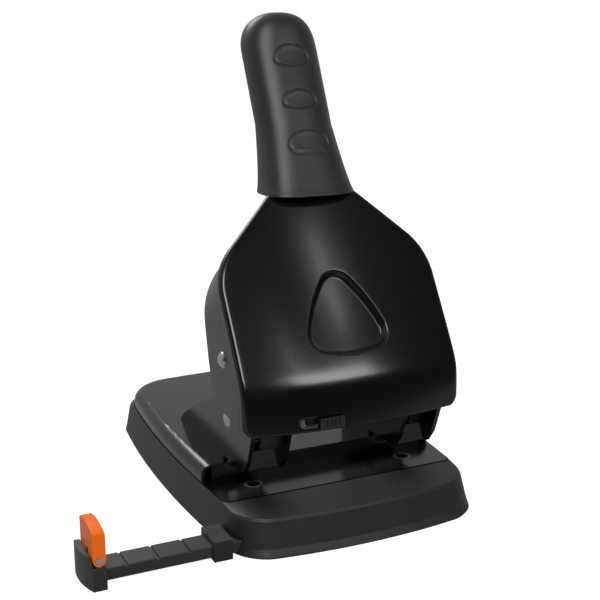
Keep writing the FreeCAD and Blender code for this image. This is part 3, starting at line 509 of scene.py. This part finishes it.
@dataclass
class HandleGrip:
    """The soft grip on the lever's neck.

    It leans back, narrows from the foot to the waist and ends in a dome. Sizes ending in rows, step or
    columns only say how finely the skin is divided, and pads_low_z and pads_high_z where it is finest.
    """

    bottom_z: float = 149.5
    waist_z: float = 180.0
    dome_z: float = 213.0
    top_z: float = 232.1
    foot_y: float = 27.8
    waist_y: float = 41.6
    dome_y: float = 57.6
    tip_y: float = 59.5
    foot_half_width: float = 23.3
    foot_half_depth: float = 16.2
    waist_half_width: float = 18.7
    waist_half_depth: float = 13.2
    head_half_depth: float = 13.4
    foot_power: float = 2.9
    taper_power: float = 0.6
    head_power: float = 2.3
    dome_power: float = 2.4
    lip_round: float = 0.9
    pocket_y: float = 28.6
    pocket_half_width: float = 20.2
    pocket_half_depth: float = 9.6
    pocket_height: float = 2.5
    pocket_power: float = 4.0
    groove_depth: float = 0.55
    groove_half_width: float = 0.30
    pad_dip: float = 0.15
    pad_edge: float = 2.5
    pads_low_z: float = 170.0
    pads_high_z: float = 222.0
    plain_step: float = 1.0
    pad_step: float = 0.3
    lip_rows: int = 5
    dome_rows: int = 34
    front_start: float = -math.pi * 0.77
    front_end: float = -math.pi * 0.23
    front_columns: int = 120
    back_columns: int = 90

    def section(self, z: float) -> tuple[float, float, float, float]:
        """The level section at a height.

        Args:
            z: the height.

        Returns:
            The middle's y, the half width, the half depth and the oval's power.
        """
        if z < self.waist_z:
            share = (z - self.bottom_z) / (self.waist_z - self.bottom_z)
            ease = share ** self.taper_power
            return (between(self.foot_y, self.waist_y, share),
                    between(self.foot_half_width, self.waist_half_width, ease),
                    between(self.foot_half_depth, self.waist_half_depth, ease),
                    between(self.foot_power, self.head_power, share))
        if z < self.dome_z:
            share = (z - self.waist_z) / (self.dome_z - self.waist_z)
            return (between(self.waist_y, self.dome_y, share), self.waist_half_width,
                    between(self.waist_half_depth, self.head_half_depth, share), self.head_power)
        share = (z - self.dome_z) / (self.top_z - self.dome_z)
        narrowing = max(0.0, 1 - share ** self.dome_power) ** (1 / self.dome_power)
        rise = (self.dome_y - self.waist_y) / (self.dome_z - self.waist_z) * (self.top_z - self.dome_z)
        y = self.dome_y + rise * share + (self.tip_y - self.dome_y - rise) * share ** 2
        return (y, self.waist_half_width * narrowing, self.head_half_depth * narrowing,
                self.head_power)

    def angles(self) -> np.ndarray:
        """The angles of a ring's points, closer together on the front.

        Returns:
            The angles, once round.
        """
        round_end = self.front_start + 2 * math.pi
        front = np.linspace(self.front_start, self.front_end, self.front_columns, endpoint=False)
        back = np.linspace(self.front_end, round_end, self.back_columns, endpoint=False)
        return np.concatenate([front, back])

    def ring(self, z: float, y: float, half_width: float, half_depth: float, power: float) -> np.ndarray:
        """The points of one level, softly squared oval.

        Args:
            z: its height.
            y: its middle's y.
            half_width: half its size along X.
            half_depth: half its size along Y.
            power: how square it is, 2 for an ellipse.

        Returns:
            The points, once round.
        """
        angles = self.angles()
        cosine, sine = np.cos(angles), np.sin(angles)
        across = np.sign(cosine) * np.abs(cosine) ** (2 / power)
        along = np.sign(sine) * np.abs(sine) ** (2 / power)
        return np.stack([half_width * across, y + half_depth * along, np.full_like(across, z)], axis=1)

    def foot_rings(self) -> list[np.ndarray]:
        """The rings of the pocket and the rounded lip at the foot.

        Returns:
            The rings, from inside the pocket to the lip's outside.
        """
        pocket = (self.pocket_y, self.pocket_half_width, self.pocket_half_depth, self.pocket_power)
        rings = [self.ring(self.bottom_z + self.pocket_height, *pocket), self.ring(self.bottom_z, *pocket)]
        for turn in np.linspace(0.0, math.pi / 2, self.lip_rows):
            inset = self.lip_round * (1 - math.sin(turn))
            z = self.bottom_z + self.lip_round * (1 - math.cos(turn))
            y, half_width, half_depth, power = self.section(z)
            rings.append(self.ring(z, y, half_width - inset, half_depth - inset, power))
        return rings

    def heights(self) -> list[float]:
        """The heights of the rings above the lip, closer together over the pads.

        Returns:
            The heights, from low to high.
        """
        start = self.bottom_z + self.lip_round
        values = steps((start, self.pads_low_z, self.plain_step),
                       (self.pads_low_z, self.pads_high_z, self.pad_step))[1:]
        rise = self.top_z - self.dome_z
        low = math.asin((self.pads_high_z - self.dome_z) / rise)
        for turn in np.linspace(low, math.pi / 2, self.dome_rows)[1:-1]:
            values.append(self.dome_z + rise * math.sin(turn))
        return values

    def build(self) -> bpy.types.Object:
        """Makes the grip as one closed skin, hollow at the foot.

        Returns:
            The grip.
        """
        rings = self.foot_rings() + [self.ring(z, *self.section(z)) for z in self.heights()]
        points = self.press_pads(np.array(rings))
        rows, columns = points.shape[:2]
        faces: list[Sequence[int]] = list(grid_faces(rows, columns, True))
        flat = points.reshape(-1, 3).tolist()
        flat.append([0.0, self.tip_y, self.top_z])
        top, last = len(flat) - 1, (rows - 1) * columns
        faces += [(last + index, last + (index + 1) % columns, top) for index in range(columns)]
        faces.append(tuple(range(columns))[::-1])
        return make_mesh("grip_skin", flat, faces)

    def press_pads(self, points: np.ndarray) -> np.ndarray:
        """Presses the pads' grooves into the front of the rings.

        Args:
            points: the rings' points, by row and column.

        Returns:
            The moved points.
        """
        across, along, up = points[..., 0], points[..., 1], points[..., 2]
        middle = along.mean(axis=1, keepdims=True)
        is_front = along < middle
        depth = np.zeros_like(across)
        for pad in THUMB_PADS:
            gap = pad.edge_distance(across, up)
            depth += self.groove_depth * np.exp(-(gap / self.groove_half_width) ** 2)
            depth += self.pad_dip * smooth_step(-gap / self.pad_edge)
        moved = points.copy()
        moved[..., 1] += np.where(is_front, depth, 0.0)
        return moved

    def fit(self, dresser: Dresser) -> None:
        """Builds the grip on the lever.

        Args:
            dresser: gives the grip its finish and body.
        """
        dresser.place(self.build(), "lever", Slot.GRIP_RUBBER, "handle_grip")


@dataclass
class FrontCover:
    """The pressed cover on the lever's front: an upright skirt and a leaning face with one outline.

    Its flat outline is drawn in x and the way from the fold, along the skirt or along the leaning face.
    Sizes with row, rows, steps, share or column in their names only say how finely the sheet is divided,
    and fold_reach, recess_start and neck_gap where a spacing begins.
    """

    half_width: float = 54.85
    neck_half_width: float = 16.5
    tangent_z: float = 111.0
    shoulder_radius: float = 33.0
    shoulder_turn: float = math.radians(44.0)
    neck_point_x: float = 20.0
    neck_point_z: float = 152.8
    top_z: float = 160.0
    bottom_z: float = 52.3
    bottom_corner: float = 5.0
    edge_radius: float = 2.2
    fold_y: float = -26.0
    fold_z: float = 72.0
    fold_softness: float = 3.4
    skirt_bow: float = 5.8
    neck_bow: float = 2.4
    bow_top_z: float = 171.0
    face_rise: float = 79.0
    face_run: float = 49.6
    wall_depth: float = 5.5
    sheet: float = 1.1
    recess_z: float = 100.0
    recess_depth: float = 2.9
    recess_reach: float = 9.5
    recess_wall: float = 2.8
    recess_half_width: float = 10.8
    recess_low: float = -9.2
    recess_high: float = 11.3
    recess_bow: float = 1.0
    recess_arc_steps: int = 5
    slot_left: float = -29.35
    slot_right: float = -9.65
    slot_low: float = 53.75
    slot_high: float = 58.25
    slot_slack: float = 0.01
    rim_steps: int = 7
    wall_steps: int = 3
    lowest_row: float = 0.001
    rows_below_slot: tuple[float, ...] = (52.5, 53.0)
    rows_in_corner: tuple[float, ...] = (54.6, 55.6, 56.5)
    fine_row: float = 0.5
    skirt_row: float = 1.2
    fold_reach: float = 4.0
    fold_row: float = 0.4
    recess_start: float = 14.0
    plain_row: float = 0.8
    shoulder_rows: int = 44
    slant_rows: int = 26
    neck_gap: float = 2.5
    neck_row: float = 1.5
    side_share: float = 0.88
    side_column: float = 0.03
    slot_column: float = 0.01
    recess_share: float = 0.46
    recess_column: float = 0.009

    @property
    def slope(self) -> float:
        """How far the face runs back for each millimetre of height."""
        return self.face_run / self.face_rise

    @property
    def stretch(self) -> float:
        """The leaning face's length for each millimetre of height."""
        return math.hypot(1.0, self.slope)

    def reach(self, z: float) -> float:
        """How far a height lies from the fold, along the skirt or the leaning face."""
        rise = z - self.fold_z
        return rise * self.stretch if rise > 0 else rise

    def height(self, reach: np.ndarray) -> np.ndarray:
        """The height of a place on the face that is a way from the fold."""
        return self.fold_z + np.where(reach > 0, reach / self.stretch, reach)

    def corner_part(self) -> list[tuple[float, ...]]:
        """The outline's part round the bottom corner.

        Returns:
            For each point x, the way from the fold, the outward normal's two values and the edge's
            rounding radius.
        """
        centre_x = self.half_width - self.bottom_corner
        centre = self.reach(self.bottom_z + self.bottom_corner)
        points = []
        for z in (self.bottom_z + self.lowest_row, *self.rows_below_slot, self.slot_low,
                  *self.rows_in_corner):
            turn = math.asin((self.reach(z) - centre) / self.bottom_corner)
            cosine, sine = math.cos(turn), math.sin(turn)
            points.append((centre_x + self.bottom_corner * cosine, centre + self.bottom_corner * sine,
                           cosine, sine, self.edge_radius * cosine))
        return points

    def side_part(self) -> list[tuple[float, ...]]:
        """The outline's straight side, with more points at the slot, the fold and the recess.

        Returns:
            The same values for each point as corner_part gives.
        """
        centre = self.reach(self.bottom_z + self.bottom_corner)
        slot = self.reach(self.slot_high)
        places = steps((centre, slot, self.fine_row), (slot, -self.fold_reach, self.skirt_row),
                       (-self.fold_reach, self.fold_reach, self.fold_row),
                       (self.fold_reach, self.recess_start, self.plain_row),
                       (self.recess_start, self.reach(self.tangent_z), self.fine_row))
        return [(self.half_width, place, 1.0, 0.0, self.edge_radius) for place in places]

    def shoulder_part(self) -> list[tuple[float, ...]]:
        """The outline's shoulder, its slant and the neck.

        Returns:
            The same values for each point as corner_part gives.
        """
        tangent = self.reach(self.tangent_z)
        corner = tangent + self.shoulder_radius * math.tan(self.shoulder_turn / 2)
        slant = math.atan2(self.reach(self.neck_point_z) - corner, self.half_width - self.neck_point_x)
        arc_x = self.half_width - self.shoulder_radius
        points = []
        for turn in np.linspace(0, math.pi / 2 - slant, self.shoulder_rows)[1:]:
            cosine, sine = math.cos(turn), math.sin(turn)
            points.append((arc_x + self.shoulder_radius * cosine, tangent + self.shoulder_radius * sine,
                           cosine, sine, self.edge_radius))
        start_x, start = points[-1][:2]
        end = start + (start_x - self.neck_half_width) * math.tan(slant)
        for share in np.linspace(0, 1, self.slant_rows)[1:]:
            points.append((between(start_x, self.neck_half_width, share), between(start, end, share),
                           math.sin(slant), math.cos(slant), self.edge_radius))
        for place in steps((end + self.neck_gap, self.reach(self.top_z), self.neck_row)):
            points.append((self.neck_half_width, place, 1.0, 0.0, self.edge_radius))
        return points

    def outline(self) -> tuple[np.ndarray, np.ndarray, np.ndarray]:
        """The right half of the flat outline from the bottom to the neck.

        Returns:
            Points (x, way from the fold), outward normals, and the rounding radius at each point.
        """
        rows = np.array(self.corner_part() + self.side_part() + self.shoulder_part())
        return rows[:, :2], rows[:, 2:4], rows[:, 4]

    def surface(self, x: np.ndarray, reach: np.ndarray, depth: np.ndarray) -> np.ndarray:
        """Points at a depth behind the crowned front face.

        Args:
            x: distances from the middle plane.
            reach: ways from the fold along the face.
            depth: distances behind the face, square to it.

        Returns:
            The points.
        """
        z = self.height(reach)
        run = self.slope * (z - self.fold_z)
        root = np.sqrt(run ** 2 + self.fold_softness ** 2)
        lean = np.arctan(self.slope * (1 + run / root) / 2)
        share = np.clip((z - self.fold_z) / (self.bow_top_z - self.fold_z), 0.0, 1.0)
        bow = between(self.skirt_bow, self.neck_bow, share)
        y = self.fold_y + (run + root) / 2 - bow * (1 - (x / self.half_width) ** 2)
        return np.stack([x, y + depth * np.cos(lean), z - depth * np.sin(lean)], axis=-1)

    def recess_core(self) -> np.ndarray:
        """The recess's core, a triangle with three bowed sides.

        Returns:
            Its outline's points in order.
        """
        corners = np.array([(-self.recess_half_width, self.recess_low),
                            (self.recess_half_width, self.recess_low), (0.0, self.recess_high)])
        points = []
        for start, end in zip(corners, np.roll(corners, -1, axis=0)):
            side = end - start
            outward = np.array([side[1], -side[0]]) / np.hypot(*side)
            for share in np.arange(self.recess_arc_steps) / self.recess_arc_steps:
                bulge = self.recess_bow * 4 * share * (1 - share)
                points.append(start + side * share + outward * bulge)
        return np.array(points)

    def recess(self, x: np.ndarray, reach: np.ndarray) -> np.ndarray:
        """How deep the rounded triangle is pressed in at each point.

        Args:
            x: distances from the middle plane.
            reach: ways from the fold along the face.

        Returns:
            The depths.
        """
        along = reach - self.reach(self.recess_z)
        core = self.recess_core()
        closest = np.full_like(x, math.inf)
        inside = np.ones_like(x, dtype=bool)
        for start, end in zip(core, np.roll(core, -1, axis=0)):
            edge = end - start
            px, pz = x - start[0], along - start[1]
            share = np.clip((px * edge[0] + pz * edge[1]) / float(edge @ edge), 0, 1)
            closest = np.minimum(closest, np.hypot(px - share * edge[0], pz - share * edge[1]))
            inside &= (edge[0] * pz - edge[1] * px) >= 0
        gap = np.where(inside, 0.0, closest)
        return self.recess_depth * smooth_step((self.recess_reach - gap) / self.recess_wall)

    def columns(self) -> tuple[np.ndarray, int, int]:
        """The shares of the half width at which the columns stand.

        Returns:
            The shares, and the columns between which the slider's slot lies.
        """
        inner = self.half_width - self.edge_radius
        left, right = self.slot_left / inner, self.slot_right / inner
        shares = np.array(steps((-1.0, -self.side_share, self.side_column),
                                (-self.side_share, left, self.side_column),
                                (left, right, self.slot_column),
                                (right, self.recess_share, self.recess_column),
                                (self.recess_share, 1.0, self.side_column)))
        return shares, int(np.argmin(np.abs(shares - left))), int(np.argmin(np.abs(shares - right)))

    def build(self) -> bpy.types.Object:
        """Makes the cover as a thin pressed shell.

        Returns:
            The cover.
        """
        outline, normals, radii = self.outline()
        shares, slot_start, slot_end = self.columns()
        rows = []
        for (x, reach), normal, radius in zip(outline, normals, radii):
            core_x, core_reach = x - radius * normal[0], reach - radius * normal[1]
            row_x = shares * core_x
            row_reach = np.full_like(row_x, core_reach)
            face = self.surface(row_x, row_reach, self.recess(row_x, row_reach))
            rows.append(self.with_rim(face, normal, radius, core_x, core_reach))
        points = np.array(rows)
        count_rows, count_columns = points.shape[:2]
        skip = self.rim_steps + self.wall_steps
        slot_start, slot_end = slot_start + skip, slot_end + skip
        slot_low = self.reach(self.slot_low) - self.slot_slack
        slot_high = self.reach(self.slot_high) - self.slot_slack
        faces = []
        for face in grid_faces(count_rows, count_columns, False):
            row, column = divmod(face[0], count_columns)
            if not (slot_low <= outline[row][1] < slot_high and slot_start <= column < slot_end):
                faces.append(face)
        piece = make_mesh("front_cover_shell", points.reshape(-1, 3), faces)
        wall = piece.modifiers.new("sheet", "SOLIDIFY")
        wall.thickness = self.sheet * MM
        wall.offset = -1.0
        wall.use_even_offset = True
        bake_modifiers(piece)
        return piece

    def with_rim(self, face: np.ndarray, normal: np.ndarray, radius: float, core_x: float,
                 core_reach: float) -> np.ndarray:
        """Adds the rounded edge and the side wall to both ends of a row.

        Args:
            face: the row's points on the front face.
            normal: the outline's outward normal there.
            radius: the edge's rounding radius there.
            core_x: x at which the rounding starts.
            core_reach: way from the fold at which the rounding starts.

        Returns:
            The whole row, from the left wall's back to the right wall's back.
        """
        turns = np.linspace(0, math.pi / 2, self.rim_steps + 1)[1:]
        depths = radius * (1 - np.cos(turns))
        back = self.wall_depth / self.stretch if core_reach > 0 else self.wall_depth
        wall = np.linspace(radius, back, self.wall_steps + 1)[1:]
        outward = radius * np.concatenate([np.sin(turns), np.ones(self.wall_steps)])
        x = core_x + normal[0] * outward
        reach = core_reach + normal[1] * outward
        right = self.surface(x, reach, np.concatenate([depths, wall]))
        left = right[::-1] * np.array([-1.0, 1.0, 1.0])
        return np.concatenate([left, face, right])

    def fit(self, dresser: Dresser) -> None:
        """Builds the cover on the lever.

        Args:
            dresser: gives the cover its finish and body.
        """
        dresser.place(self.build(), "lever", Slot.BLACK_STEEL, "lever_front_cover")


@dataclass
class ReturnSpring:
    """The coil that lifts one punch, standing on its guide block."""

    side: int
    punch_x: float = 40.0
    seat_z: float = 38.6
    foot_z: float = 39.1
    head_z: float = 55.2
    mean_radius: float = 3.95
    wire_radius: float = 0.45
    turns: float = 5.5
    stroke: float = 12.6
    steps_per_turn: int = 28
    wire_sides: int = 10

    @property
    def name(self) -> str:
        """The side's word in the names of nodes, joints and pieces."""
        return "left" if self.side < 0 else "right"

    def build(self) -> bpy.types.Object:
        """Makes the coil as one closed wire.

        Returns:
            The coil.
        """
        count = round(self.turns * self.steps_per_turn) + 1
        turns = np.linspace(0.0, 2 * math.pi * self.turns, count)
        around = np.linspace(0.0, 2 * math.pi, self.wire_sides, endpoint=False)
        radius = self.mean_radius + self.wire_radius * np.cos(around)
        lift = self.wire_radius * np.sin(around)
        rise = np.linspace(self.foot_z, self.head_z, count)
        points = np.stack([self.side * self.punch_x + np.outer(np.cos(turns), radius),
                           np.outer(np.sin(turns), radius),
                           rise[:, None] + lift[None, :]], axis=-1)
        faces: list[Sequence[int]] = list(grid_faces(count, self.wire_sides, True))
        last = (count - 1) * self.wire_sides
        faces.append(tuple(range(self.wire_sides))[::-1])
        faces.append(tuple(last + index for index in range(self.wire_sides)))
        return make_mesh("return_coil_" + self.name, points.reshape(-1, 3), faces)

    def fit(self, dresser: Dresser) -> None:
        """Builds the coil on the frame, with a mesh of its own.

        Args:
            dresser: gives the coil its finish and body.
        """
        piece = self.build()
        dresser.place(piece, "frame", Slot.SPRING_STEEL, "return_spring_" + self.name)
        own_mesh(piece)


@dataclass(frozen=True)
class SoftBox:
    """A flat lamp of the studio, in metres and watts."""

    name: str
    place: tuple[float, float, float]
    width: float
    height: float
    power: float

    def build(self, target: Sequence[float]) -> None:
        """Adds the lamp to the scene.

        Args:
            target: what it points at, in metres.
        """
        data = bpy.data.lights.new(self.name, "AREA")
        data.shape = "RECTANGLE"
        data.size = self.width
        data.size_y = self.height
        data.energy = self.power
        lamp = bpy.data.objects.new(self.name, data)
        lamp.location = Vector(self.place)
        lamp.rotation_euler = (Vector(target) - Vector(self.place)).to_track_quat("-Z", "Y").to_euler()
        bpy.context.scene.collection.objects.link(lamp)


SOFT_BOXES = (
    SoftBox("key", place=(-0.62, -1.10, 1.30), width=0.8, height=0.8, power=16.0),
    SoftBox("fold_box", place=(0.40, -0.93, 0.70), width=0.44, height=0.22, power=2.4),
    SoftBox("neck_box", place=(0.53, -0.72, 1.02), width=0.05, height=0.18, power=0.22),
    SoftBox("streak_box", place=(0.26, -0.92, 0.86), width=0.05, height=0.26, power=0.14),
    SoftBox("back", place=(-0.40, 1.40, 1.30), width=1.2, height=0.7, power=14.0),
)


@dataclass
class Studio:
    """The pale floor, the surroundings, the lamps and the camera.

    What the object mirrors turns from the front's brightness to the back's between two values of the
    looking direction's Y, turn_start and turn_end.
    """

    eye: tuple[float, float, float] = (-221.7, -441.4, 230.6)
    gaze: tuple[float, float, float] = (0.4091, 0.8774, -0.2504)
    focal_pixels: float = 1100.0
    frame_pixels: float = 600.0
    sensor: float = 36.0
    farthest_view: float = 100000.0
    floor_size: float = 8000.0
    floor_front: float = -160.0
    floor_grey: float = 0.36
    floor_roughness: float = 0.7
    floor_glow: float = 0.92
    floor_mirrored: float = 0.05
    light: float = 0.20
    mirrored_front: float = 0.06
    mirrored_back: float = 0.45
    turn_start: float = -0.35
    turn_end: float = 0.25
    lamp_target: tuple[float, float, float] = (0.0, 0.03, 0.10)

    def camera(self) -> None:
        """Makes the camera at the photograph's place."""
        data = bpy.data.cameras.new("camera")
        data.sensor_width = self.sensor
        data.lens = self.focal_pixels / self.frame_pixels * self.sensor
        data.clip_end = self.farthest_view * MM
        camera = bpy.data.objects.new("camera", data)
        gaze = Vector(self.gaze).normalized()
        right = gaze.cross(Vector((0, 0, 1))).normalized()
        up = right.cross(gaze)
        turn = Matrix((right, up, -gaze)).transposed().to_4x4()
        camera.matrix_world = Matrix.Translation(Vector(self.eye) * MM) @ turn
        bpy.context.scene.collection.objects.link(camera)
        bpy.context.scene.camera = camera

    def floor(self) -> None:
        """Makes the pale floor, which keeps the object's shadow."""
        half = self.floor_size / 2
        front = self.floor_front
        piece = make_mesh("floor", [(-half, front, 0), (half, front, 0), (half, half, 0), (-half, half, 0)],
                          [(0, 1, 2, 3)])
        material = bpy.data.materials.new("pale_floor")
        material.use_nodes = True
        layout = NodeLayout(material.node_tree)
        shader = material.node_tree.nodes["Principled BSDF"]
        grey = self.floor_grey
        layout.fill(shader, {"Base Color": (grey, grey, grey, 1.0), "Roughness": self.floor_roughness,
                             "Emission Color": WHITE})
        path = layout.add("ShaderNodeLightPath")
        seen = layout.math("MAXIMUM", path.outputs["Is Camera Ray"], path.outputs["Is Transmission Ray"])
        glow = layout.math("MULTIPLY", seen, self.floor_glow)
        mirrored = layout.math("MULTIPLY", path.outputs["Is Glossy Ray"], self.floor_mirrored)
        layout.join(layout.math("ADD", glow, mirrored), shader.inputs["Emission Strength"])
        piece.data.materials.append(material)

    def sky(self) -> None:
        """Makes the surroundings: white to the camera, and mirrored dimmer in front than behind."""
        world = bpy.data.worlds.new("studio")
        bpy.context.scene.world = world
        world.use_nodes = True
        layout = NodeLayout(world.node_tree)
        background = world.node_tree.nodes["Background"]
        layout.fill(background, {"Color": WHITE})
        path = layout.add("ShaderNodeLightPath")
        place = layout.add("ShaderNodeTexCoord")
        axes = layout.add("ShaderNodeSeparateXYZ")
        layout.join(place.outputs["Generated"], axes.inputs["Vector"])
        behind = layout.add("ShaderNodeMapRange", interpolation_type="SMOOTHSTEP")
        layout.join(axes.outputs["Y"], behind.inputs["Value"])
        layout.fill(behind, {"From Min": self.turn_start, "From Max": self.turn_end,
                             "To Min": self.mirrored_front, "To Max": self.mirrored_back})
        seen = layout.math("MAXIMUM", path.outputs["Is Glossy Ray"], path.outputs["Is Transmission Ray"])
        lit = layout.add("ShaderNodeMix", data_type="FLOAT")
        layout.join(seen, lit.inputs["Factor"])
        layout.fill(lit, {"A": self.light})
        layout.join(behind.outputs["Result"], lit.inputs["B"])
        shown = layout.math("MAXIMUM", lit.outputs["Result"], path.outputs["Is Camera Ray"])
        layout.join(shown, background.inputs["Strength"])

    def build(self) -> None:
        """Sets up the whole studio."""
        self.camera()
        self.sky()
        self.floor()
        for box in SOFT_BOXES:
            box.build(self.lamp_target)
        bpy.context.scene.view_settings.view_transform = "Standard"


def main() -> None:
    """Builds the studio and every piece."""
    logging.basicConfig(level=logging.INFO)
    Studio().build()
    dresser = Dresser()
    for assembly in (HandleGrip(), FrontCover(), ReturnSpring(-1), ReturnSpring(1)):
        assembly.fit(dresser)
    dresser.dress_rest()


if __name__ == "__main__":
    main()
